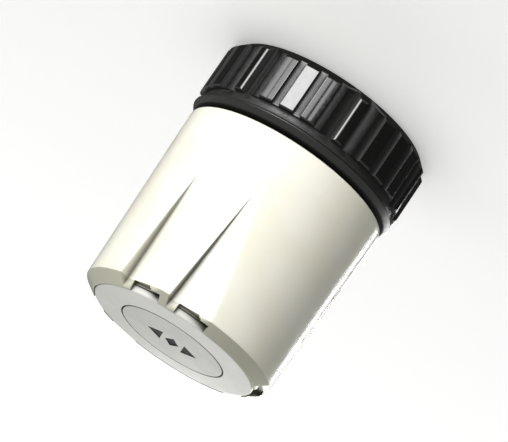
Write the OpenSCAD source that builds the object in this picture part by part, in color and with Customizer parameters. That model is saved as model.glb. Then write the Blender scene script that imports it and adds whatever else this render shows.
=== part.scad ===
// Hand-operated head for a manifold valve with an M30x1.5 connection.
// The origin is the centre of the union nut's open face. +Z runs along the spindle to the
// outer end of the handwheel. The head is drawn closed, with its handwheel screwed down.

/* [Valve interface] */
// Minor diameter of the nut's M30x1.5 thread
thread_minor_d = 28.38; // [28.2:0.02:28.6]
// Height of the carrier's seat face above the nut's open face
seat_z = 6.6; // [6.2:0.1:6.7]
// Distance from the seat face to the closed valve's pin
pin_closed = 11.8; // [11.5:0.1:12]
// Travel of the plunger from closed to open
stroke = 4; // [3:0.5:4]

/* [Union nut] */
// Diameter over the grip ribs
nut_d = 36; // [35.6:0.2:36.4]
// Height of the nut
nut_h = 10.6; // [10.4:0.1:10.7]
// Height of the ribbed band
rib_band_h = 7.7; // [7:0.1:7.9]
// Turn of the nut as it stands
nut_turn = 18; // [0:1:59]

/* [Carrier] */
// Diameter of the visible flange
flange_d = 35.8; // [35:0.2:36]
// Diameter of the sleeve that the nut runs on
sleeve_d = 26; // [25.8:0.1:26.1]
// Diameter of the plunger's bore
bore_d = 18.4; // [18:0.1:18.6]
// Diameter of the tube that guides the handwheel
guide_d = 30.4; // [30.2:0.1:30.5]

/* [Handwheel] */
// Height of the skirt's open rim above the nut's open face
rim_z = 12.7; // [12.6:0.1:13]
// Diameter of the skirt at its rim
rim_d = 34.4; // [34.2:0.1:34.6]
// Diameter where the skirt meets the end bevel
end_d = 33; // [32.8:0.1:33.4]
// Length of the tapered skirt, from its rim to the end bevel
skirt_h = 30; // [29.5:0.1:30.5]
// Height of the end bevel
bevel_h = 1.5; // [1.3:0.1:1.6]
// Diameter of the cover disc in the outer end
cover_d = 28.4; // [28.2:0.1:28.5]
// Diameter of the badge in the cover
badge_d = 17.8; // [17:0.1:19]
// Turn of the handwheel as it stands
wheel_turn = 45; // [0:1:119]

/* [Grip flutes] */
// Groups of flutes round the skirt
flute_groups = 3; // [2:1:4]
// Angle between the two flutes of a group
flute_pitch = 32; // [30:1:36]
// Length of a flute, from where it fades in to the outer end
flute_h = 22; // [16:1:22]
// Angle by which a flute's steep wall leans over the floor towards the nut
flute_draft = 6; // [0:1:8]
// Distance from the axis to a flute's floor at the outer end
flute_floor = 14.8; // [14.7:0.05:15]

/* [Spindle] */
// Diameter of the spindle's thread
spindle_d = 8; // [7.8:0.1:8.2]
// Diameter of the snap end that the plunger holds
snap_d = 5.2; // [5:0.1:5.4]
// Width across the flats of the hexagon that drives the handwheel's hub
hex_af = 6.6; // [6.2:0.1:6.8]

/* [Hidden] */
$fn = 96;
eps = 0.01;
// Clearances: a running fit, a loose gap between moving pieces, and a gap between fixed ones
run_gap = 0.06;
loose_gap = 0.3;
fixed_gap = 0.05;

// Heights, from the nut's open face up
pin_z = seat_z + pin_closed;
plunger_z = pin_z + 0.5;
plunger_disc_h = 2.5;
plunger_h = 4.1;
snap_z = plunger_z + 1.4;
snap_h = 2;
shank_z = snap_z + snap_h + 0.9;
clip_z = shank_z + 0.5;
clip_h = 0.7;
bush_z = clip_z + clip_h + stroke + 0.2;
bush_flange_h = 1.2;
bush_h = 6;
tower_z = bush_z + bush_h;
hub_z = tower_z + loose_gap;
lip_h = 0.8;
snap_ring_h = 0.6;
washer_h = 0.4;
snap_ring_z = seat_z + lip_h + fixed_gap;
washer_z = snap_ring_z + snap_ring_h + 2 * fixed_gap;
shelf_z = washer_z + washer_h + 0.1;
flange_z = nut_h + loose_gap;
flange_h = 1.1;
guide_z = flange_z + flange_h;
guide_h = 13;
bevel_z = rim_z + skirt_h;
end_z = bevel_z + bevel_h;
dome_h = 0.3;
pocket_z = end_z - 1.2;
roof_z = pocket_z - 2.4;
screw_floor_z = roof_z - 0.4;
web_z = screw_floor_z - 1.6;
cover_z = pocket_z + 0.1;
badge_z = cover_z + 0.4;

// Height of the shallow dome over the end, at radius r
function dome_z(r) = end_z + dome_h * (1 - pow(r / cover_r, 2));

// Points of the dome's outline from radius r0 in to radius r1
function dome_line(r0, r1) = [for (i = [0 : 4]) let (r = r0 + (r1 - r0) * i / 4) [r, dome_z(r)]];

// Radii
thread_minor_r = thread_minor_d / 2;
mouth_r = 15.3;
relief_r = 15.1;
valley_r = nut_d / 2 - 1.3;
nut_neck_r = nut_d / 2 - 1;
sleeve_r = sleeve_d / 2;
nut_bore_r = sleeve_r + run_gap;
guide_r = guide_d / 2;
bore_r = bore_d / 2;
tower_r = 9.8;
bush_r = 7;
bush_flange_r = 8.2;
spindle_r = spindle_d / 2;
neck_r = 1.8;
skirt_in_r = guide_r + loose_gap + 0.1;
drum_in_r = 13.3;
hub_r = 7.5;
cover_r = cover_d / 2;
badge_r = badge_d / 2;
land_r = cover_r + 0.2;

// A straight tube
module tube(r_out, r_in, h) {
    difference() {
        cylinder(r = r_out, h = h);
        translate([0, 0, -eps]) cylinder(r = r_in, h = h + 2 * eps);
    }
}

// A pie slice on the plane, from angle a0 to angle a1, past radius r
module slice(a0, a1, r) {
    far = 1.3 * r;
    mid = (a0 + a1) / 2;
    polygon([[0, 0], [far * cos(a0), far * sin(a0)],
        [far * cos(mid), far * sin(mid)], [far * cos(a1), far * sin(a1)]]);
}

// A flat open ring with a gap, such as a retaining ring
module open_ring(r_out, r_in, h, gap_angle) {
    linear_extrude(h) difference() {
        circle(r = r_out);
        circle(r = r_in);
        slice(-gap_angle / 2, gap_angle / 2, r_out);
    }
}

// ---- Handwheel and what turns with it ----

// Outside and inside of the cap, as one turned profile
module wheel_profile() {
    edge = 0.35;
    polygon([
        [skirt_in_r, rim_z], [rim_d / 2 - edge, rim_z], [rim_d / 2, rim_z + edge],
        [end_d / 2, bevel_z], [land_r, end_z], [cover_r + 0.1, end_z],
        [cover_r + 0.1, pocket_z], [0, pocket_z], [0, hub_z], [hub_r, hub_z],
        [hub_r, roof_z], [drum_in_r, roof_z], [drum_in_r, guide_z + guide_h + 1],
        [skirt_in_r, guide_z + guide_h + 1]
    ]);
}

// One finger flute: a flat floor that sinks towards the outer end, beside a steep wall
// that is drafted so that the flute opens towards the outer end
module flute_cut() {
    start_z = pocket_z - flute_h;
    start_r = rim_d / 2 - (rim_d - end_d) / 2 * (start_z - rim_z) / skirt_h;
    lean = atan((start_r - flute_floor) / (pocket_z - start_z));
    translate([start_r, 0, start_z]) rotate([0, -lean, 0])
        translate([0, 0, flute_h]) rotate([-flute_draft, 0, 0])
            translate([0, -12, -flute_h]) cube([6, 12, flute_h + 4]);
}

// The notch at a flute's end, which lays the cover's edge bare
module flute_notch() {
    notch_z = pocket_z - 0.35;
    notch_r = 15.7;
    translate([0, 0, notch_z]) linear_extrude(2) intersection() {
        slice(-26.5, -6, end_d / 2);
        difference() {
            circle(r = notch_r);
            circle(r = cover_r);
        }
    }
}

module each_flute() {
    for (group = [0 : flute_groups - 1])
        for (side = [0, 1])
            rotate([0, 0, wheel_turn + group * 360 / flute_groups + side * flute_pitch])
                children();
}

module hub_ribs() {
    for (i = [0 : 5])
        rotate([0, 0, wheel_turn + 60 * i])
            translate([hub_r - 0.5, -0.6, hub_z + 2])
                cube([drum_in_r - hub_r + 1, 1.2, roof_z - hub_z - 2 + eps]);
}

module handwheel() {
    color("ivory") difference() {
        union() {
            rotate_extrude() wheel_profile();
            hub_ribs();
        }
        each_flute() flute_cut();
        each_flute() flute_notch();
        translate([0, 0, hub_z - eps])
            cylinder(d = (hex_af + 0.1) / cos(30), h = web_z - hub_z + eps, $fn = 6);
        translate([0, 0, web_z - eps]) cylinder(r = 2.15, h = 2);
        translate([0, 0, screw_floor_z]) cylinder(r = 4.6, h = 5);
    }
}

// Slightly domed disc with a plug that grips the hub's counterbore
module end_cover() {
    plug_r = 4.5;
    plug_in_r = 3.85;
    plug_h = 1.8;
    edge = 0.25;
    recess_r = badge_r + 0.15;
    color("white") rotate_extrude() polygon(concat(
        [[0, cover_z], [plug_in_r, cover_z], [plug_in_r, cover_z - plug_h],
            [plug_r, cover_z - plug_h], [plug_r, cover_z], [cover_r, cover_z],
            [cover_r, end_z - edge]],
        dome_line(cover_r - edge, recess_r),
        [[recess_r, badge_z], [0, badge_z]]
    ));
}

// An arrow each way from a diamond
module badge_marks() {
    arrow = [[1.9, 2.2], [1.9, -2.2], [4.4, 0]];
    polygon(arrow);
    rotate(180) polygon(arrow);
    polygon([[1.2, 0], [0, 2.2], [-1.2, 0], [0, -2.2]]);
}

// The marks lie in a row along X as the handwheel stands
module end_badge() {
    marks_turn = -45;
    color("gainsboro") difference() {
        rotate_extrude()
            polygon(concat([[0, badge_z], [badge_r, badge_z]], dome_line(badge_r, 0)));
        translate([0, 0, end_z + 0.05]) rotate([0, 0, wheel_turn + marks_turn])
            linear_extrude(1) badge_marks();
    }
}

module hub_screw() {
    head_z = screw_floor_z + 0.8;
    color("silver") difference() {
        union() {
            translate([0, 0, head_z]) cylinder(r = 3.5, h = 1.5);
            translate([0, 0, head_z - 7]) cylinder(r = 1.95, h = 7 + eps);
        }
        for (turn = [0, 90])
            rotate([0, 0, turn]) translate([-2, -0.4, head_z + 0.5]) cube([4, 0.8, 2]);
    }
}

module hub_washer() {
    color("gray") translate([0, 0, screw_floor_z]) open_ring(3.6, 2.1, 0.8, 14);
}

module spindle() {
    color("silver") difference() {
        union() {
            translate([0, 0, snap_z + 0.5]) cylinder(d = snap_d, h = snap_h - 0.5);
            translate([0, 0, snap_z])
                cylinder(d1 = snap_d - 1, d2 = snap_d, h = 0.5 + eps, $fn = 48);
            translate([0, 0, snap_z]) cylinder(r = neck_r, h = shank_z - snap_z + eps);
            translate([0, 0, shank_z])
                cylinder(r = spindle_r, h = hub_z - shank_z - fixed_gap);
            translate([0, 0, hub_z - 2 * fixed_gap])
                cylinder(d = hex_af / cos(30), h = web_z - hub_z, $fn = 6);
        }
        translate([0, 0, clip_z - 0.05]) tube(spindle_r + 1, 3, clip_h + 0.1);
        translate([0, 0, web_z - 7.2]) cylinder(r = 2, h = 10);
    }
}

module spindle_clip() {
    color("dimgray") translate([0, 0, clip_z]) open_ring(5.6, 3 + fixed_gap, clip_h, 80);
}

// ---- Carrier and what is fixed to it ----

module thread_bush() {
    color("goldenrod") translate([0, 0, bush_z]) difference() {
        union() {
            cylinder(r = bush_flange_r, h = bush_flange_h);
            cylinder(r = bush_r, h = bush_h - 0.1);
        }
        translate([0, 0, -eps]) cylinder(r = spindle_r + run_gap, h = bush_h + 1);
    }
}

module carrier_profile() {
    flange_r = flange_d / 2;
    groove_z = seat_z + lip_h;
    groove_top = snap_ring_z + snap_ring_h + fixed_gap;
    ring_z = guide_z + 6;
    core_top = guide_z + guide_h;
    polygon([
        [bore_r, seat_z], [sleeve_r - 0.3, seat_z], [sleeve_r, seat_z + 0.3],
        [sleeve_r, groove_z], [sleeve_r - 1, groove_z], [sleeve_r - 1, groove_top],
        [sleeve_r, groove_top], [sleeve_r, flange_z], [flange_r, flange_z],
        [rim_d / 2, guide_z], [guide_r, guide_z], [guide_r, ring_z], [guide_r - 1, ring_z],
        [guide_r - 1, ring_z + 1.8], [guide_r, ring_z + 1.8], [guide_r, core_top],
        [guide_r - 1.9, core_top], [guide_r - 1.9, guide_z + 2], [12, guide_z + 2],
        [12, core_top], [tower_r, core_top + 2], [tower_r, tower_z],
        [bush_r + fixed_gap, tower_z], [bush_r + fixed_gap, bush_z + bush_flange_h],
        [bush_flange_r + fixed_gap, bush_z + bush_flange_h],
        [bush_flange_r + fixed_gap, bush_z], [bore_r, bush_z]
    ]);
}

// Two grooves along the bore keep the plunger from turning
module carrier() {
    color("#1c1c1c") difference() {
        rotate_extrude() carrier_profile();
        for (turn = [0, 180])
            rotate([0, 0, turn]) translate([bore_r - 1, -1.8, seat_z - eps])
                cube([2.5, 3.6, bush_z - seat_z - 1]);
    }
}

module guide_o_ring() {
    wire_r = 0.6;
    color("black") translate([0, 0, guide_z + 6.9])
        rotate_extrude() translate([guide_r - wire_r / 2, 0]) circle(r = wire_r, $fn = 32);
}

module slip_washer() {
    color("silver") translate([0, 0, washer_z]) tube(13.9, sleeve_r + fixed_gap, washer_h);
}

module snap_ring() {
    color("dimgray") translate([0, 0, snap_ring_z])
        open_ring(13.8, sleeve_r - 1 + fixed_gap, snap_ring_h, 26);
}

// ---- Plunger ----

module plunger() {
    lug_w = 3;
    color("whitesmoke") translate([0, 0, plunger_z]) difference() {
        union() {
            cylinder(r = bore_r - loose_gap, h = plunger_disc_h);
            cylinder(r = 5.2, h = plunger_h);
            translate([-bore_r - 1.1, -lug_w / 2, 0])
                cube([2 * bore_r + 2.2, lug_w, plunger_disc_h]);
        }
        translate([0, 0, -eps]) cylinder(r = 2.45, h = 1.3);
        translate([0, 0, 1.3]) cylinder(r = snap_d / 2 + run_gap, h = snap_h + 0.2);
        translate([0, 0, 3]) cylinder(r = neck_r + run_gap, h = 3);
        for (turn = [45, 135])
            rotate([0, 0, turn]) translate([-6, -0.4, plunger_disc_h])
                cube([12, 0.8, plunger_h]);
    }
}

module thrust_pin() {
    color("silver") translate([0, 0, pin_z]) {
        cylinder(r = 3.2, h = 0.5);
        cylinder(r = 2.4, h = 1.7);
    }
}

// ---- Union nut ----

function polar(r, angle) = [r * cos(angle), r * sin(angle)];

// Grip all round: six thin ridges, each between two valleys, and three ribs between valleys
module grip_cuts() {
    for (corner = [0 : 5]) rotate(60 * corner) {
        for (side = [-1, 1]) valley(side);
        for (groove = [12, 24, 36, 48]) rib_groove(groove);
    }
}

// A steep flank beside the ridge, then a shoulder that climbs to the first rib
module valley(side) {
    polygon([
        polar(valley_r, 3.6 * side), polar(nut_d / 2 + 1, 1.1 * side),
        polar(nut_d / 2 + 1, 12 * side), polar(nut_d / 2 - 0.3, 12 * side)
    ]);
}

module rib_groove(angle) {
    rotate(angle) translate([nut_d / 2 - 0.6, 0])
        polygon([[0, -0.6], [1.6, -1], [1.6, 1], [0, 0.6]]);
}

module nut_outside() {
    chamfer = 1.6;
    intersection() {
        union() {
            linear_extrude(chamfer + rib_band_h) rotate(nut_turn) difference() {
                circle(r = nut_d / 2);
                grip_cuts();
            }
            cylinder(r = valley_r, h = nut_h);
            translate([0, 0, chamfer + rib_band_h - eps])
                cylinder(r = nut_neck_r, h = nut_h - chamfer - rib_band_h + eps);
        }
        cylinder(r1 = nut_d / 2 - chamfer, r2 = nut_d / 2 - chamfer + nut_h, h = nut_h);
    }
}

module union_nut() {
    color("#161616") difference() {
        nut_outside();
        translate([0, 0, -eps]) cylinder(r = thread_minor_r, h = shelf_z + eps);
        translate([0, 0, -eps])
            cylinder(r1 = mouth_r, r2 = thread_minor_r, h = mouth_r - thread_minor_r);
        translate([0, 0, seat_z]) cylinder(r = relief_r, h = shelf_z - seat_z);
        translate([0, 0, shelf_z - 0.5]) cylinder(r = nut_bore_r, h = nut_h);
    }
}

handwheel();
end_cover();
end_badge();
hub_screw();
hub_washer();
spindle();
spindle_clip();
thread_bush();
carrier();
guide_o_ring();
plunger();
thrust_pin();
slip_washer();
snap_ring();
union_nut();
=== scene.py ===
"""Looks of a hand-operated head for a manifold valve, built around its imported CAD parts.

Sizes are in millimetres and angles in degrees until a mesh is written. Heights run from the
union nut's open face up to the handwheel's outer end, as in the CAD model.
"""

import math

import bmesh
import bpy
from mathutils import Matrix, Vector


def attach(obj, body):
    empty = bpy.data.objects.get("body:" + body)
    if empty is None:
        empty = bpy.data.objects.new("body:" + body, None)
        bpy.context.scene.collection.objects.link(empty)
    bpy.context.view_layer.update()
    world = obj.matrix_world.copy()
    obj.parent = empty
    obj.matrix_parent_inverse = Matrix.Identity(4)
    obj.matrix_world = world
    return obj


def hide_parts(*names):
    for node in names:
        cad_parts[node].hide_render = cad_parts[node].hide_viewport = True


MM = 0.001

# Handwheel
RIM_Z = 12.7
RIM_R = 17.2
BEVEL_Z = 42.7
END_R = 16.5
LAND_R = 14.4
END_Z = 44.2
POCKET_Z = 43.0
POCKET_R = 14.3
SKIRT_IN_R = 15.6
DRUM_IN_R = 13.3
DRUM_Z = 26.0
ROOF_Z = 40.6
HUB_R = 7.5
HUB_Z = 34.9
WEB_Z = 38.6
SCREW_FLOOR_Z = 40.2
SCREW_R = 4.6
SCREW_HOLE_R = 2.15
HEX_APOTHEM = 3.35
RIB_COUNT = 6
RIB_W = 1.2
RIB_Z = 36.9

# Height in the skirt's bore where the handwheel's closed outline starts and ends
BORE_SEAM_Z = 17.0

# Finger flutes of the handwheel
WHEEL_TURN = 45
FLUTE_PITCH = 32
FLUTE_GROUPS = 3
FLUTE_Z = 21.0
FLUTE_START_R = 17.01
FLUTE_FLOOR_R = 14.8
FLUTE_WALL_W = 0.5
FLUTE_BLEND = 0.14
FLUTE_SPAN = 45
WALL_DRAFT = 6
NOTCH_Z = 42.65
NOTCH_START = 6.0
NOTCH_END = 26.5
NOTCH_R = 15.7
LEDGE_R = 14.2

# How far behind and ahead of a steep wall the mesh's columns follow its draft, and how far
# ahead they follow it in full
WALL_REACH_BEHIND = 11
WALL_REACH_AHEAD = 20
WALL_REACH_FULL = 1.5

# End cover
COVER_R = 14.2
COVER_Z = 43.1
BADGE_Z = 43.5
RECESS_R = 9.05
DOME_H = 0.3
PLUG_R = 4.5
PLUG_IN_R = 3.85
PLUG_Z = 41.3

# Marks in the badge
MARKS_FLOOR_Z = 44.25
MARKS_FILL_H = 0.07
MARKS_FILL_SINK = 0.02

# Union nut
NUT_R = 18.0
NUT_H = 10.6
NUT_TURN = 18
BAND_Z = 9.3
NUT_NECK_R = 17.0
VALLEY_R = 16.7
CHAMFER = 1.6
RIDGE_HALF = 3.6
RIDGE_SQUARENESS = 2.6
SHOULDER_END = 10.0
GROOVE_R = 17.4
GROOVE_FLOOR_HALF = 0.6
GROOVE_TOP_HALF = 0.75
GRIP_RIB_PITCH = 12
SUB_GROOVE_DEPTH = 0.04
SUB_GROOVE_HALF = 0.8
MOUTH_R = 15.3
RELIEF_R = 15.1
SHELF_Z = 8.65
SEAT_Z = 6.6
NUT_BORE_R = 13.06
THREAD_MINOR_R = 14.19
THREAD_MAJOR_R = 15.0
THREAD_PITCH = 1.5

# Carrier
SLEEVE_R = 13.0
CLIP_GROOVE_Z = 7.4
CLIP_GROOVE_TOP = 8.1
GROOVE_DEPTH = 1
BORE_R = 9.2
FLANGE_R = 17.9
FLANGE_Z = 10.9
GUIDE_Z = 12.0
GUIDE_R = 15.2
GUIDE_WALL = 1.9
GUIDE_TOP = 25.0
WELL_IN_R = 12
WELL_Z = 14.0
RING_Z = 18.0
RING_GROOVE_H = 1.8
TOWER_R = 9.8
TOWER_Z = 34.6
BUSH_Z = 28.6
BUSH_FLANGE_Z = 29.8
BUSH_FLANGE_R = 8.25
BUSH_R = 7.05
LUG_FLOOR = 10.7
LUG_HALF_W = 1.8
LUG_TOP_Z = 27.6

# Gap between two rows of a mesh where its outline jumps
ROW_GAP = 0.002

# Points closer than this, in metres, are one
WELD = 1e-7

# Most of a line's length that the rounding of a corner takes
ROUNDING_SHARE = 0.48

# Roughness that grease and dust add in the black nylon's grooves
GROOVE_DULLNESS = 0.6

# Stage: places in metres, powers in watts, lens and sensor in millimetres
FLOOR_HALF = 3
FLOOR_GLOW = 0.35
WALLS_ABOVE = 0.45
WALLS_BELOW = 0.06
HORIZON_BLUR = 0.15
CAMERA_PLACE = (0, -0.6127, 0.1993)
CAMERA_TARGET = (0, 0, 0.0215)
CAMERA_ROLL = -145.8
CAMERA_LENS = 297
SENSOR_W = 36
LIGHT_TARGET = (0, 0, 0.02)

# Each softbox: name, compass angle, height, distance, panel size and power
SOFTBOXES = (
    ("key_softbox", -52.5, -0.16, 0.55, (0.56, 0.42), 3.2),
    ("key_core", -54, -0.14, 0.54, (0.2, 0.3), 1.45),
    ("back_softbox", 90, 0.4, 0.5, (0.4, 0.3), 0.9),
    ("side_softbox", 114, 0.03, 0.55, (0.5, 0.2), 1.4),
    ("rim_softbox", 128, -0.115, 0.55, (0.09, 0.08), 0.18),
    ("rim_softbox_outer", 104, -0.115, 0.55, (0.13, 0.08), 0.12),
    ("floor_softbox", -120, -0.5, 0.25, (0.5, 0.5), 0.75),
)


def srgb(red, green, blue):
    """Linear colour from screen values between 0 and 255."""
    def linear(value):
        value /= 255
        return value / 12.92 if value <= 0.04045 else ((value + 0.055) / 1.055) ** 2.4

    return (linear(red), linear(green), linear(blue), 1)


def smooth_step(value):
    """A soft climb from 0 to 1 as the value goes from 0 to 1."""
    value = max(0, min(1, value))
    return value * value * (3 - 2 * value)


def smooth_min(first, second, blend):
    """The smaller of two values, with a soft change from one to the other."""
    overlap = max(blend - abs(first - second), 0) / blend
    return min(first, second) - overlap * overlap * blend / 4


# ---- Mesh tools ----


def softened(corners, steps=4):
    """An open outline of (radius, height, rounding) corners, with its inner corners rounded."""
    line = [corners[0][:2]]
    for before, corner, after in zip(corners, corners[1:], corners[2:]):
        here = Vector(corner[:2])
        cut = corner[2]
        if not cut:
            line.append(tuple(here))
            continue
        back = Vector(before[:2]) - here
        ahead = Vector(after[:2]) - here
        start = here + back.normalized() * min(cut, back.length * ROUNDING_SHARE)
        end = here + ahead.normalized() * min(cut, ahead.length * ROUNDING_SHARE)
        for i in range(steps + 1):
            t = i / steps
            line.append(tuple(start * (1 - t) ** 2 + here * 2 * t * (1 - t) + end * t * t))
    line.append(corners[-1][:2])
    return line


def divided(line, step):
    """The same open line with points added, so that none are further apart than step."""
    points = [line[0]]
    for start, end in zip(line, line[1:]):
        count = max(1, math.ceil(math.dist(start, end) / step))
        for i in range(1, count + 1):
            t = i / count
            points.append(tuple(a + (b - a) * t for a, b in zip(start, end)))
    return points


def even_angles(step):
    """Angles round a full turn, this many degrees apart."""
    return [step * i for i in range(round(360 / step))]


def merged_angles(*groups):
    """All the angles in order, each at least a thousandth of a degree from the next."""
    return sorted({round(angle % 360, 3) for group in groups for angle in group})


def lathe_faces(columns, rows, closed):
    """Corner numbers of the faces between the columns, and back to the first row if closed."""
    faces = []
    last = rows if closed else rows - 1
    for i in range(columns):
        j = (i + 1) % columns
        for k in range(last):
            above = (k + 1) % rows
            low = (i * rows + k, j * rows + k)
            high = (j * rows + above, i * rows + above)
            faces.append(low + high)
    return faces


def lathe_points(line, angles, shape=None, lean=None):
    """Each point of the line at each angle, turned by lean and then moved by shape."""
    points = []
    for column in angles:
        for radius, height in line:
            angle = lean(radius, height, column) if lean else column
            if shape:
                radius, height = shape(radius, height, angle)
            c = math.cos(math.radians(angle))
            s = math.sin(math.radians(angle))
            points.append((radius * c * MM, radius * s * MM, height * MM))
    return points


def add_lathe(mesh, line, angles, shape=None, closed=True, lean=None):
    """Adds a turned surface to a bmesh."""
    points = [mesh.verts.new(p) for p in lathe_points(line, angles, shape, lean)]
    for face in lathe_faces(len(angles), len(line), closed):
        mesh.faces.new([points[i] for i in face])


def add_prism(mesh, outline, bottom, top):
    """Adds an upright prism over an outline of (x, y) points to a bmesh."""
    low = [mesh.verts.new((x * MM, y * MM, bottom * MM)) for x, y in outline]
    high = [mesh.verts.new((x * MM, y * MM, top * MM)) for x, y in outline]
    mesh.faces.new(high)
    mesh.faces.new(low[::-1])
    for i in range(len(outline)):
        j = (i + 1) % len(outline)
        mesh.faces.new((low[i], low[j], high[j], high[i]))


def finished(mesh, name, sharp=40):
    """Turns a bmesh into a smooth-shaded object with hard edges past the sharp angle."""
    bmesh.ops.remove_doubles(mesh, verts=mesh.verts, dist=WELD)
    bmesh.ops.recalc_face_normals(mesh, faces=mesh.faces)
    data = bpy.data.meshes.new(name)
    mesh.to_mesh(data)
    mesh.free()
    data.shade_smooth()
    data.set_sharp_from_angle(angle=math.radians(sharp))
    piece = bpy.data.objects.new(name, data)
    bpy.context.scene.collection.objects.link(piece)
    return piece


# ---- Handwheel ----


def flute_walls():
    """The angle of each flute's steep wall."""
    walls = []
    for group in range(FLUTE_GROUPS):
        for side in range(2):
            walls.append((WHEEL_TURN + group * 360 / FLUTE_GROUPS + side * FLUTE_PITCH) % 360)
    return walls


def past_wall(wall, angle):
    """How far the angle lies over the floor of the flute beside this wall."""
    return (wall - angle + 180) % 360 - 180


def flute_plane(height):
    """Distance from the axis to a flute's flat floor."""
    sink = (FLUTE_START_R - FLUTE_FLOOR_R) / (POCKET_Z - FLUTE_Z)
    return FLUTE_START_R - sink * (height - FLUTE_Z)


def wall_lean(radius, height):
    """Angle by which the draft has carried a steep wall over its floor at this height."""
    if radius < LEDGE_R or height > POCKET_Z:
        return 0
    fade = max(0, min(1, (height - RIM_Z) / (FLUTE_Z - RIM_Z)))
    offset = (POCKET_Z - height) * math.tan(math.radians(WALL_DRAFT))
    return math.degrees(math.asin(offset / radius)) * fade


def follow_walls(radius, height, angle):
    """Slides the outside's columns beside each steep wall, so that they follow its draft."""
    if radius <= SKIRT_IN_R and height <= BEVEL_Z:
        return angle
    fading = WALL_REACH_AHEAD - WALL_REACH_FULL
    for wall in flute_walls():
        past = past_wall(wall, angle)
        if -WALL_REACH_BEHIND < past < 0:
            return angle - wall_lean(radius, height) * (1 + past / WALL_REACH_BEHIND)
        if 0 <= past < WALL_REACH_AHEAD:
            share = min(1, (WALL_REACH_AHEAD - past) / fading)
            return angle - wall_lean(radius, height) * share
    return angle


def carve_flutes(radius, height, angle):
    """Cuts the flutes and their end notches into the handwheel's outside."""
    lean = wall_lean(radius, height)
    for wall in flute_walls():
        past = past_wall(wall, angle)
        if not lean < past < FLUTE_SPAN:
            continue
        depth = smooth_step((past - lean) / FLUTE_WALL_W)
        floor = flute_plane(height) / math.cos(math.radians(past))
        radius += (smooth_min(radius, floor, FLUTE_BLEND) - radius) * depth
        if LEDGE_R < radius < NOTCH_R and height > NOTCH_Z:
            notch = smooth_step((past - NOTCH_START) / FLUTE_WALL_W)
            notch *= 1 - smooth_step((past - NOTCH_END) / FLUTE_WALL_W)
            height += (NOTCH_Z - height) * notch
    return radius, height


def shape_wheel(radius, height, angle):
    """Cuts the flutes outside, and the hexagonal socket in the hub."""
    if SCREW_HOLE_R < radius < SCREW_R and height < SCREW_FLOOR_Z - 0.1:
        return HEX_APOTHEM / math.cos(math.radians(angle % 60 - 30)), height
    return carve_flutes(radius, height, angle)


def wheel_angles():
    """Columns that crowd together at the flutes' walls and at the ends of their notches."""
    near_wall = (-0.8, -0.3, -0.02, 0.08, 0.16, 0.25, 0.34, 0.42, 0.5, 0.8, 1.3)
    near_end = (-0.5, 0, 0.1, 0.2, 0.3, 0.4, 0.5, 0.9)
    close = []
    for wall in flute_walls():
        close += [wall - step for step in near_wall]
        close += [wall - NOTCH_START - step for step in near_end]
        close += [wall - NOTCH_END - step for step in near_end]
        close += [wall - step for step in range(2, 31)]
    return merged_angles(even_angles(2), close)


def wheel_outline():
    """Closed outline, round the skirt and the end and back through the hub and the drum."""
    slope = (END_Z - BEVEL_Z) / (END_R - LAND_R)
    notch_edge = [
        (radius, BEVEL_Z + slope * (END_R - radius), 0)
        for radius in (NOTCH_R + 0.02, NOTCH_R - 0.02)
    ]
    outside = softened([
        (SKIRT_IN_R, BORE_SEAM_Z, 0), (SKIRT_IN_R, RIM_Z, 0.25), (RIM_R, RIM_Z, 0.42),
        (END_R, BEVEL_Z, 0.16), *notch_edge, (LAND_R, END_Z, 0.14), (POCKET_R, END_Z, 0.05),
        (POCKET_R, POCKET_Z, 0.1), (LEDGE_R, POCKET_Z, 0)
    ])
    inside = softened([
        (LEDGE_R - 0.01, POCKET_Z, 0), (SCREW_R, POCKET_Z, 0.2), (SCREW_R, SCREW_FLOOR_Z, 0.2),
        (SCREW_HOLE_R, SCREW_FLOOR_Z, 0.1), (SCREW_HOLE_R, WEB_Z, 0)
    ])
    hexagon = [(HEX_APOTHEM, WEB_Z), (HEX_APOTHEM, HUB_Z)]
    hollow = softened([
        (HUB_R - 2, HUB_Z, 0), (HUB_R, HUB_Z, 0.3), (HUB_R, ROOF_Z, 0.5),
        (DRUM_IN_R, ROOF_Z, 0.5), (DRUM_IN_R, DRUM_Z, 0.3), (SKIRT_IN_R, DRUM_Z, 0.3),
        (SKIRT_IN_R, BORE_SEAM_Z + 1, 0)
    ])
    return divided(outside, 0.6) + inside + hexagon + hollow


def add_hub_ribs(mesh):
    """Webs between the handwheel's hub and its drum, sunk into both and into the roof."""
    inner = HUB_R - 0.3
    outer = DRUM_IN_R + 0.3
    half = RIB_W / 2
    corners = [(inner, -half), (outer, -half), (outer, half), (inner, half)]
    for i in range(RIB_COUNT):
        turn = Matrix.Rotation(math.radians(WHEEL_TURN + 360 / RIB_COUNT * i), 2)
        outline = [tuple(turn @ Vector(corner)) for corner in corners]
        add_prism(mesh, outline, RIB_Z, ROOF_Z + 0.2)


def make_handwheel():
    """Skirt, fluted end, drum and hub in one turned shell, with the ribs inside it."""
    mesh = bmesh.new()
    add_lathe(mesh, wheel_outline(), wheel_angles(), shape_wheel, lean=follow_walls)
    add_hub_ribs(mesh)
    return finished(mesh, "handwheel_shell")


# ---- End cover and badge ----


def dome_z(radius):
    """Height of the end's slight dome at this distance from the axis."""
    return END_Z + DOME_H * (1 - (radius / COVER_R) ** 2)


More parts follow.
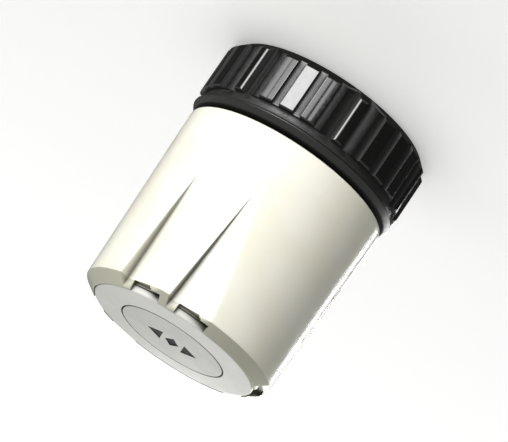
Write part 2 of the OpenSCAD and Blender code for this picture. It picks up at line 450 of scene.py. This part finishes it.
def make_end_cover():
    """Domed disc with a rounded lip, a recess for the badge and a plug underneath."""
    inner = RECESS_R + 0.12
    steps = 6
    radii = [COVER_R + (inner - COVER_R) * i / steps for i in range(1, steps + 1)]
    dome = [(radius, dome_z(radius), 0) for radius in radii]
    line = softened(
        [
            (0, COVER_Z, 0), (PLUG_IN_R, COVER_Z, 0.1), (PLUG_IN_R, PLUG_Z, 0.1),
            (PLUG_R, PLUG_Z, 0.15), (PLUG_R, COVER_Z, 0.1), (COVER_R, COVER_Z, 0.12),
            (COVER_R, END_Z, 0.32)
        ]
        + dome
        + [(RECESS_R, BADGE_Z + 0.4, 0.05), (RECESS_R, BADGE_Z, 0.1), (0, BADGE_Z, 0)]
    )
    mesh = bmesh.new()
    add_lathe(mesh, line, even_angles(1.5))
    return finished(mesh, "end_cover_disc", sharp=50)


def make_mark_fill():
    """Dark fill in the badge's sunken marks: an arrow each way from a diamond."""
    arrow = [(1.9, 2.2), (1.9, -2.2), (4.4, 0)]
    back_arrow = [(-x, -y) for x, y in arrow]
    diamond = [(1.2, 0), (0, 2.2), (-1.2, 0), (0, -2.2)]
    mesh = bmesh.new()
    for outline in (arrow, back_arrow, diamond):
        add_prism(mesh, outline, MARKS_FLOOR_Z - MARKS_FILL_SINK, MARKS_FLOOR_Z + MARKS_FILL_H)
    return finished(mesh, "badge_mark_fill")


# ---- Union nut ----


def crown(offset, half, power):
    """Height, from 0 to 1, of a rounded bar's back at this offset from its middle."""
    part = min(1, abs(offset) / half)
    return (1 - part ** power) ** (1 / power)


def grip_radius(angle):
    """Outside of the nut: six thin ridges, each between shoulders, and three ribs between."""
    sector = (angle - NUT_TURN) % 60
    sector = min(sector, 60 - sector)
    if sector < RIDGE_HALF:
        return VALLEY_R + (NUT_R - VALLEY_R) * crown(sector, RIDGE_HALF, RIDGE_SQUARENESS)
    if sector < GRIP_RIB_PITCH:
        climb = min(1, (sector - RIDGE_HALF) / (SHOULDER_END - RIDGE_HALF))
        return VALLEY_R + (GROOVE_R - VALLEY_R) * climb
    offset = (sector + GRIP_RIB_PITCH / 2) % GRIP_RIB_PITCH - GRIP_RIB_PITCH / 2
    across = NUT_R * math.radians(abs(offset))
    climb = (across - GROOVE_FLOOR_HALF) / (GROOVE_TOP_HALF - GROOVE_FLOOR_HALF)
    radius = GROOVE_R + (NUT_R - GROOVE_R) * smooth_step(climb)
    if sector < 2 * GRIP_RIB_PITCH:
        from_middle = (sector - 1.5 * GRIP_RIB_PITCH) / SUB_GROOVE_HALF
        radius -= SUB_GROOVE_DEPTH * math.exp(-(from_middle ** 2))
    return radius


def thread_radius(height, angle):
    """Inside of the nut: a 60 degree thread with flat crests and roots."""
    phase = (height / THREAD_PITCH - angle / 360) % 1
    if phase < 1 / 8:
        depth = 1
    elif phase < 7 / 16:
        depth = (7 / 16 - phase) / (5 / 16)
    elif phase < 11 / 16:
        depth = 0
    else:
        depth = (phase - 11 / 16) / (5 / 16)
    radius = THREAD_MINOR_R + (THREAD_MAJOR_R - THREAD_MINOR_R) * depth
    return max(radius, MOUTH_R - height)


def shape_nut(radius, height, angle):
    """Gives the nut's band its grip, and the end of its bore the thread's outline."""
    if radius > VALLEY_R - 0.5 and height < BAND_Z + ROW_GAP / 2:
        return smooth_min(radius, grip_radius(angle), 0.1), height
    if radius == THREAD_MINOR_R:
        return thread_radius(height, angle), height
    return radius, height


def nut_angles():
    """Columns that follow the ridges, shoulders and ribs of each sixth of the grip."""
    ridge = (0, 0.7, 1.4, 2, 2.5, 2.9, 3.2, 3.4, 3.6)
    shoulder = (4.6, 6, 8, 9.7, SHOULDER_END, 10.3, 11)
    rib = (15.4, 16.3, 17, 17.5, 18, 18.5, 19, 19.7, 20.6, 27.4, 28.7)
    near = GRIP_RIB_PITCH
    far = 2 * GRIP_RIB_PITCH
    grooves = [
        groove + side * step
        for groove, side in ((near, 1), (far, -1), (far, 1))
        for step in (0, 1, 1.6, 1.85, 1.95, 2.03, 2.11, 2.19, 2.27, 2.35, 2.42, 2.6)
    ]
    half = (*ridge, *shoulder, *rib, *grooves)
    angles = []
    for corner in range(6):
        middle = NUT_TURN + 60 * corner
        angles += [middle + step for step in half]
        angles += [middle - step for step in half]
        angles.append(middle + 30)
    return merged_angles(angles)


def nut_outline():
    """Open outline, from the thread's lower end round the outside to its upper end."""
    on_chamfer = (NUT_R - 0.2, CHAMFER - 0.2, 0)
    mouth = softened([
        (THREAD_MAJOR_R, MOUTH_R - THREAD_MAJOR_R, 0), (MOUTH_R, 0, 0.12),
        (NUT_R - CHAMFER, 0, 0.35), on_chamfer
    ])
    band = softened([
        on_chamfer, (NUT_R, CHAMFER, 0.2), (NUT_R, BAND_Z, 0.4), (NUT_NECK_R + 0.1, BAND_Z, 0)
    ])
    top = softened([
        (NUT_NECK_R, BAND_Z + ROW_GAP, 0), (NUT_NECK_R, NUT_H, 0.2), (NUT_BORE_R, NUT_H, 0.2),
        (NUT_BORE_R, SHELF_Z, 0.1), (RELIEF_R, SHELF_Z, 0.2), (RELIEF_R, SEAT_Z, 0.05),
        (THREAD_MAJOR_R + 0.05, SEAT_Z, 0)
    ])
    return divided(mouth, 0.3) + divided(band, 1.6)[1:] + top + [(THREAD_MINOR_R, SEAT_Z)]


def add_thread(mesh, angles):
    """Rows that follow the helix, cut off where the mouth and the relief begin."""
    start = MOUTH_R - THREAD_MAJOR_R
    phases = (0, 1 / 8, 9 / 32, 7 / 16, 11 / 16, 27 / 32)
    turns = math.ceil((SEAT_Z - start) / THREAD_PITCH) + 2
    heights = [(turn + phase) * THREAD_PITCH for turn in range(-1, turns) for phase in phases]
    columns = []
    for angle in angles + [360]:
        column = []
        for height in heights:
            z = min(SEAT_Z, max(start, height + THREAD_PITCH * (angle / 360 - 1)))
            r = thread_radius(z, angle)
            place = (r * math.cos(math.radians(angle)), r * math.sin(math.radians(angle)), z)
            column.append(mesh.verts.new(Vector(place) * MM))
        columns.append(column)
    for one, two in zip(columns, columns[1:]):
        for k in range(len(heights) - 1):
            mesh.faces.new((one[k], two[k], two[k + 1], one[k + 1]))


def make_union_nut():
    """Ribbed nut whose open outline is closed by its thread."""
    mesh = bmesh.new()
    angles = nut_angles()
    add_lathe(mesh, nut_outline(), angles, shape_nut, closed=False)
    add_thread(mesh, angles)
    return finished(mesh, "union_nut_body", sharp=45)


# ---- Carrier ----


def lug_radius(angle):
    """Distance to the bore's lug grooves, or 0 beside them."""
    across = abs(math.sin(math.radians(angle)))
    along = abs(math.cos(math.radians(angle)))
    corner = LUG_HALF_W / LUG_FLOOR
    if across / along <= corner:
        return LUG_FLOOR / along
    if across <= LUG_HALF_W / BORE_R:
        return LUG_HALF_W / across
    return 0


def shape_carrier(radius, height, angle):
    """Cuts the two lug grooves into the plunger's bore."""
    if radius < BORE_R + 0.5 and height < LUG_TOP_Z:
        return max(radius, lug_radius(angle)), height
    return radius, height


def carrier_outline():
    """Closed outline, from the sleeve's end round the guide tube, the well and the tower."""
    tube_in_r = GUIDE_R - GUIDE_WALL
    ring_top = RING_Z + RING_GROOVE_H
    outside = softened([
        (BORE_R, SEAT_Z + 1, 0), (BORE_R, SEAT_Z, 0.15), (SLEEVE_R, SEAT_Z, 0.35),
        (SLEEVE_R, CLIP_GROOVE_Z, 0), (SLEEVE_R - GROOVE_DEPTH, CLIP_GROOVE_Z, 0),
        (SLEEVE_R - GROOVE_DEPTH, CLIP_GROOVE_TOP, 0), (SLEEVE_R, CLIP_GROOVE_TOP, 0),
        (SLEEVE_R, FLANGE_Z, 0.1), (FLANGE_R, FLANGE_Z, 0.22), (RIM_R, GUIDE_Z, 0.3),
        (GUIDE_R, GUIDE_Z, 0.2), (GUIDE_R, RING_Z, 0), (GUIDE_R - GROOVE_DEPTH, RING_Z, 0),
        (GUIDE_R - GROOVE_DEPTH, ring_top, 0), (GUIDE_R, ring_top, 0),
        (GUIDE_R, GUIDE_TOP, 0.4), (tube_in_r, GUIDE_TOP, 0.3), (tube_in_r, WELL_Z, 0.5),
        (WELL_IN_R, WELL_Z, 0.5), (WELL_IN_R, GUIDE_TOP, 0.3), (TOWER_R, GUIDE_TOP + 2, 0.3),
        (TOWER_R, TOWER_Z, 0.3), (BUSH_R, TOWER_Z, 0.2), (BUSH_R, BUSH_FLANGE_Z, 0),
        (BUSH_FLANGE_R, BUSH_FLANGE_Z, 0), (BUSH_FLANGE_R, BUSH_Z, 0), (BORE_R, BUSH_Z, 0),
        (BORE_R, LUG_TOP_Z + ROW_GAP, 0)
    ])
    return outside + [(BORE_R, LUG_TOP_Z - ROW_GAP)]


def carrier_angles():
    """Columns every two degrees and at the corners of the lug grooves."""
    corner = math.degrees(math.atan(LUG_HALF_W / LUG_FLOOR))
    mouth = math.degrees(math.asin(LUG_HALF_W / BORE_R))
    close = [side + turn for side in (-mouth, -corner, corner, mouth) for turn in (0, 180)]
    return merged_angles(even_angles(2), close)


def make_carrier():
    """Sleeve, flange, guide tube and tower of the black body."""
    mesh = bmesh.new()
    add_lathe(mesh, carrier_outline(), carrier_angles(), shape_carrier)
    return finished(mesh, "carrier_body")


# ---- Materials ----


class Recipe:
    """A material's node tree, with a short method for each kind of node that it uses."""

    def __init__(self, name):
        self.material = bpy.data.materials.new(name)
        self.material.use_nodes = True
        self.tree = self.material.node_tree
        self.shader = self.tree.nodes["Principled BSDF"]
        self.coords = self.node("ShaderNodeTexCoord").outputs["Object"]

    def node(self, kind, **settings):
        made = self.tree.nodes.new(kind)
        for key, value in settings.items():
            setattr(made, key, value)
        return made

    def link(self, output, socket):
        self.tree.links.new(output, socket)

    def feed(self, socket, output):
        self.link(output, self.shader.inputs[socket])

    def fix(self, **values):
        """Sets sockets that are the same all over the surface."""
        for key, value in values.items():
            self.shader.inputs[key.replace("_", " ")].default_value = value

    def noise(self, size, detail=2, stretch=(1, 1, 1), seed=0):
        """Smooth noise whose features are about this many millimetres across."""
        place = self.node("ShaderNodeMapping")
        place.inputs["Scale"].default_value = stretch
        place.inputs["Location"].default_value = (seed, seed, seed)
        self.link(self.coords, place.inputs["Vector"])
        made = self.node("ShaderNodeTexNoise")
        made.inputs["Scale"].default_value = 1 / (size * MM)
        made.inputs["Detail"].default_value = detail
        self.link(place.outputs["Vector"], made.inputs["Vector"])
        return made.outputs["Fac"]

    def rings(self, size, wobble=0.4):
        """Fine turned rings around the axis, this many millimetres apart."""
        made = self.node("ShaderNodeTexWave", wave_type="RINGS", rings_direction="Z")
        made.inputs["Scale"].default_value = 1 / (size * MM * math.pi)
        made.inputs["Distortion"].default_value = wobble
        self.link(self.coords, made.inputs["Vector"])
        return made.outputs["Fac"]

    def bands(self, size, wobble=0.4):
        """Fine turned bands along the axis, this many millimetres apart."""
        made = self.node("ShaderNodeTexWave", wave_type="BANDS", bands_direction="Z")
        made.inputs["Scale"].default_value = 1 / (size * MM * math.pi)
        made.inputs["Distortion"].default_value = wobble
        self.link(self.coords, made.inputs["Vector"])
        return made.outputs["Fac"]

    def above(self, height, blend=0.06):
        """1 above this height in millimetres, 0 below it."""
        split = self.node("ShaderNodeSeparateXYZ")
        self.link(self.coords, split.inputs["Vector"])
        level = split.outputs["Z"]
        return self.spread(level, 0, 1, (height - blend) * MM, (height + blend) * MM)

    def spread(self, value, low, high, start=0.3, end=0.7):
        """Smooth step from low, where the value is at its start, to high, where it ends."""
        made = self.node("ShaderNodeMapRange", interpolation_type="SMOOTHSTEP")
        made.inputs["From Min"].default_value = start
        made.inputs["From Max"].default_value = end
        made.inputs["To Min"].default_value = low
        made.inputs["To Max"].default_value = high
        self.link(value, made.inputs["Value"])
        return made.outputs["Result"]

    def mix(self, amount, first, second):
        """Colour between first and second, each a colour or another node's output."""
        made = self.node("ShaderNodeMix", data_type="RGBA")
        self.link(amount, made.inputs["Factor"])
        for socket, colour in ((made.inputs[6], first), (made.inputs[7], second)):
            if isinstance(colour, tuple):
                socket.default_value = colour
            else:
                self.link(colour, socket)
        return made.outputs[2]

    def add(self, first, second):
        """Sum of two outputs, no more than 1."""
        made = self.node("ShaderNodeMath", operation="ADD", use_clamp=True)
        self.link(first, made.inputs[0])
        self.link(second, made.inputs[1])
        return made.outputs["Value"]

    def creases(self, reach):
        """0 in corners that this many millimetres of open space don't reach, 1 elsewhere."""
        made = self.node("ShaderNodeAmbientOcclusion", samples=8)
        made.inputs["Distance"].default_value = reach * MM
        return made.outputs["AO"]

    def bump(self, height, depth, under=None):
        """Relief this many millimetres deep, on top of the relief under it."""
        made = self.node("ShaderNodeBump")
        made.inputs["Distance"].default_value = depth * MM
        self.link(height, made.inputs["Height"])
        if under:
            self.link(under, made.inputs["Normal"])
        return made.outputs["Normal"]

    def soft_edges(self, radius):
        """Normals that round the edges off by this many millimetres."""
        made = self.node("ShaderNodeBevel", samples=6)
        made.inputs["Radius"].default_value = radius * MM
        return made.outputs["Normal"]


def moulded(name, pale, deep, crease_shade_and_dust, rough, grain, glow=0.0, rim=None):
    """Moulded plastic with faint clouding, a fine spark-eroded grain, and painted shade with a
    little dust in its corners.

    glow is how much light passes through the surface. rim is a height in millimetres and the
    colour
    above it: painted shade that darkens the end's bevel as if it lay in shade.
    """
    look = Recipe(name)
    clouds = look.spread(look.noise(7, 4), 0, 1)
    body = look.mix(clouds, pale, deep)
    if rim:
        # Painted shade: above the rim height the colour turns to the darker band colour, standing
        # in for the end's bevel lying in shade.
        body = look.mix(look.above(rim[0]), body, rim[1])
    # Painted shade, with a little dust: the colour darkens towards the crease colour wherever the
    # occlusion mask finds corners, creases and the flutes' steep walls.
    corners = look.spread(look.creases(2.4), 1, 0, 0.45, 0.96)
    look.feed("Base Color", look.mix(corners, body, crease_shade_and_dust))
    look.feed("Roughness", look.spread(look.noise(1.6, 4, seed=3), *rough))
    flow = look.bump(look.noise(3.5, 2, (1, 1, 0.4), seed=5), 0.008)
    look.feed("Normal", look.bump(look.noise(grain, 2), 0.004, flow))
    look.fix(IOR=1.5)
    if glow:
        look.fix(Subsurface_Weight=glow, Subsurface_Radius=(1, 0.8, 0.5), Subsurface_Scale=0.001)
    return look.material


def glossy_nylon(name, base, scuff, rough):
    """Black glass-filled nylon: flow marks, faint grey scuffs, dull in its grooves."""
    look = Recipe(name)
    rubbed = look.spread(look.noise(1.1, 5), 0, 0.35, 0.55, 0.75)
    look.feed("Base Color", look.mix(rubbed, base, scuff))
    gloss = look.spread(look.noise(0.9, 4, seed=2), *rough)
    grooves = look.spread(look.creases(2), GROOVE_DULLNESS, 0, 0.72, 0.97)
    look.feed("Roughness", look.add(gloss, grooves))
    flow = look.bump(look.noise(2.4, 3, (1, 1, 0.35), seed=4), 0.006)
    look.feed("Normal", look.bump(look.noise(0.22, 2), 0.002, flow))
    look.fix(IOR=1.68)
    return look.material


def turned_metal(name, bright, dull, rough, ring, depth, tarnish=0.4):
    """Turned metal with tool rings, patchy tarnish and softened edges."""
    look = Recipe(name)
    patches = look.spread(look.noise(2.2, 5), 0, tarnish)
    look.feed("Base Color", look.mix(patches, bright, dull))
    look.feed("Roughness", look.spread(look.noise(0.8, 4, seed=2), *rough))
    edges = look.soft_edges(0.12)
    faces = look.bump(look.rings(ring), depth, edges)
    look.feed("Normal", look.bump(look.bands(ring), depth, faces))
    look.fix(Metallic=1.0)
    return look.material


def sprung_steel(name, bright, dull, rough):
    """Strip steel with rolling streaks and dark oxide patches."""
    look = Recipe(name)
    oxide = look.spread(look.noise(1.5, 5), 0, 0.8)
    look.feed("Base Color", look.mix(oxide, bright, dull))
    look.feed("Roughness", look.spread(look.noise(0.5, 4, seed=2), *rough))
    streaks = look.noise(0.15, 3, (1, 0.08, 1))
    look.feed("Normal", look.bump(streaks, 0.004, look.soft_edges(0.08)))
    look.fix(Metallic=1.0)
    return look.material


def greased_rubber(name):
    """Black rubber with a fine bloom under patches of clear grease."""
    look = Recipe(name)
    bloom = look.spread(look.noise(0.6, 5), 0, 0.5)
    look.feed("Base Color", look.mix(bloom, srgb(22, 22, 22), srgb(52, 52, 50)))
    look.feed("Roughness", look.spread(look.noise(1.2, 3, seed=2), 0.16, 0.55))
    look.feed("Normal", look.bump(look.noise(0.3, 3), 0.01))
    return look.material


def make_materials():
    """Every material by its name."""
    return {
        # Each plastic's third colour is painted shade, with a little dust, for its corners and
        # creases.
        "ivory_plastic": moulded(
            "ivory_plastic", srgb(244, 242, 229), srgb(240, 237, 220), srgb(84, 82, 74),
            # The darker olive colour above BEVEL_Z is painted shade on the end's bevel.
            (0.17, 0.26), 0.28, 0.06, (BEVEL_Z, srgb(202, 201, 182))
        ),
        "cover_plastic": moulded(
            "cover_plastic", srgb(224, 224, 217), srgb(216, 216, 208), srgb(96, 95, 88),
            (0.28, 0.4), 0.3, 0.04
        ),
        "badge_plastic": moulded(
            "badge_plastic", srgb(203, 203, 197), srgb(192, 192, 186), srgb(86, 85, 80),
            (0.3, 0.42), 0.22
        ),
        "mark_paint": moulded(
            "mark_paint", srgb(22, 22, 21), srgb(16, 16, 15), srgb(10, 10, 10), (0.6, 0.8), 0.15
        ),
        "plunger_acetal": moulded(
            "plunger_acetal", srgb(236, 236, 232), srgb(226, 226, 220), srgb(120, 116, 104),
            (0.24, 0.36), 0.3, 0.1
        ),
        "nut_nylon": glossy_nylon(
            "nut_nylon", srgb(15, 15, 14), srgb(36, 36, 33), (0.13, 0.2)
        ),
        "carrier_nylon": glossy_nylon(
            "carrier_nylon", srgb(16, 16, 15), srgb(40, 40, 37), (0.32, 0.45)
        ),
        "brass": turned_metal(
            "brass", (0.78, 0.56, 0.24, 1), (0.5, 0.34, 0.14, 1), (0.2, 0.38), 0.12, 0.004
        ),
        "spindle_steel": turned_metal(
            "spindle_steel", (0.72, 0.72, 0.71, 1), (0.42, 0.42, 0.41, 1), (0.2, 0.36), 0.1, 0.004
        ),
        "zinc_steel": turned_metal(
            "zinc_steel", (0.68, 0.71, 0.75, 1), (0.5, 0.52, 0.5, 1), (0.26, 0.45), 0.14, 0.003
        ),
        "spring_steel": sprung_steel(
            "spring_steel", (0.45, 0.44, 0.43, 1), (0.1, 0.1, 0.1, 1), (0.25, 0.45)
        ),
        "seal_rubber": greased_rubber("seal_rubber"),
    }


def dress(piece, material):
    """Gives the piece this material alone."""
    piece.data.materials.clear()
    piece.data.materials.append(material)


# ---- Stage ----


def make_floor():
    """Large pale floor with a faint paper grain, clear when seen from below."""
    mesh = bmesh.new()
    bmesh.ops.create_grid(mesh, x_segments=4, y_segments=4, size=FLOOR_HALF)
    floor = finished(mesh, "floor")
    look = Recipe("floor_paper")
    grain = look.spread(look.noise(1.5, 4), 0, 1)
    look.feed("Base Color", look.mix(grain, srgb(246, 246, 245), srgb(243, 243, 242)))
    look.fix(Roughness=0.85, Emission_Color=(1, 1, 1, 1), Emission_Strength=FLOOR_GLOW)
    sides = look.node("ShaderNodeMixShader")
    look.link(look.node("ShaderNodeNewGeometry").outputs["Backfacing"], sides.inputs[0])
    look.link(look.shader.outputs["BSDF"], sides.inputs[1])
    look.link(look.node("ShaderNodeBsdfTransparent").outputs["BSDF"], sides.inputs[2])
    look.link(sides.outputs["Shader"], look.tree.nodes["Material Output"].inputs["Surface"])
    dress(floor, look.material)
    floor.visible_diffuse = False
    floor.visible_glossy = False
    floor.visible_shadow = False


def make_softbox(name, azimuth, height, distance, size, power):
    """Rectangular light that faces the head from this compass angle and height."""
    light = bpy.data.lights.new(name, "AREA")
    light.shape = "RECTANGLE"
    light.size = size[0]
    light.size_y = size[1]
    light.energy = power
    holder = bpy.data.objects.new(name, light)
    bpy.context.scene.collection.objects.link(holder)
    turn = math.radians(azimuth)
    place = Vector((math.cos(turn) * distance, math.sin(turn) * distance, height))
    holder.location = place
    aim = Vector(LIGHT_TARGET) - place
    holder.rotation_euler = aim.to_track_quat("-Z", "Y").to_euler()


def make_world():
    """Even white studio walls, brighter above the floor's level than below it."""
    world = bpy.data.worlds.new("studio_fill")
    world.use_nodes = True
    tree = world.node_tree
    direction = tree.nodes.new("ShaderNodeTexCoord")
    split = tree.nodes.new("ShaderNodeSeparateXYZ")
    level = tree.nodes.new("ShaderNodeMapRange")
    level.interpolation_type = "SMOOTHSTEP"
    level.inputs["From Min"].default_value = -HORIZON_BLUR
    level.inputs["From Max"].default_value = HORIZON_BLUR
    level.inputs["To Min"].default_value = WALLS_BELOW
    level.inputs["To Max"].default_value = WALLS_ABOVE
    sky = tree.nodes["Background"]
    sky.inputs["Color"].default_value = (1, 1, 0.985, 1)
    tree.links.new(direction.outputs["Generated"], split.inputs["Vector"])
    tree.links.new(split.outputs["Z"], level.inputs["Value"])
    tree.links.new(level.outputs["Result"], sky.inputs["Strength"])
    bpy.context.scene.world = world


def make_camera():
    """Camera that looks along the photographed line of sight, rolled on its side."""
    data = bpy.data.cameras.new("camera")
    data.lens = CAMERA_LENS
    data.sensor_width = SENSOR_W
    camera = bpy.data.objects.new("camera", data)
    bpy.context.scene.collection.objects.link(camera)
    place = Vector(CAMERA_PLACE)
    ahead = (Vector(CAMERA_TARGET) - place).normalized()
    level = ahead.cross(Vector((0, 0, 1))).normalized()
    upright = level.cross(ahead)
    roll = math.radians(CAMERA_ROLL)
    right = level * math.cos(roll) + upright * math.sin(roll)
    up = upright * math.cos(roll) - level * math.sin(roll)
    turn = Matrix((right, up, -ahead)).transposed()
    camera.matrix_world = Matrix.Translation(place) @ turn.to_4x4()
    bpy.context.scene.camera = camera


# ---- Scene ----


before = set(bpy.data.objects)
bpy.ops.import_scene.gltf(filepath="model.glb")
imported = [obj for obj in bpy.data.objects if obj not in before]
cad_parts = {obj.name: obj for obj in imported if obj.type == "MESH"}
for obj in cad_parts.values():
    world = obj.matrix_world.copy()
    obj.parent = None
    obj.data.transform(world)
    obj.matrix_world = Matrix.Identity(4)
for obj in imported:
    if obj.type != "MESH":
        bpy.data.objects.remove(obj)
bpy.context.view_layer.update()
materials = make_materials()

slot_of_node = {
    "hub_screw": "zinc_steel",
    "hub_washer": "spring_steel",
    "end_badge": "badge_plastic",
    "spindle": "spindle_steel",
    "spindle_clip": "spring_steel",
    "thread_bush": "brass",
    "guide_o_ring": "seal_rubber",
    "plunger": "plunger_acetal",
    "thrust_pin": "spindle_steel",
    "slip_washer": "zinc_steel",
    "snap_ring": "spring_steel",
}
for node_name, slot_name in slot_of_node.items():
    dress(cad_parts[node_name], materials[slot_name])

pieces = [
    (make_handwheel(), "handwheel", "wheel", "ivory_plastic"),
    (make_end_cover(), "end_cover", "wheel", "cover_plastic"),
    (make_union_nut(), "union_nut", "nut", "nut_nylon"),
    (make_carrier(), "carrier", "base", "carrier_nylon"),
]
for piece, replaced, body, slot_name in pieces:
    dress(piece, materials[slot_name])
    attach(piece, body)
    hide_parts(replaced)

mark_fill = make_mark_fill()
dress(mark_fill, materials["mark_paint"])
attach(mark_fill, "wheel")

make_floor()
for softbox in SOFTBOXES:
    make_softbox(*softbox)
make_world()
make_camera()
bpy.context.scene.view_settings.view_transform = "Standard"
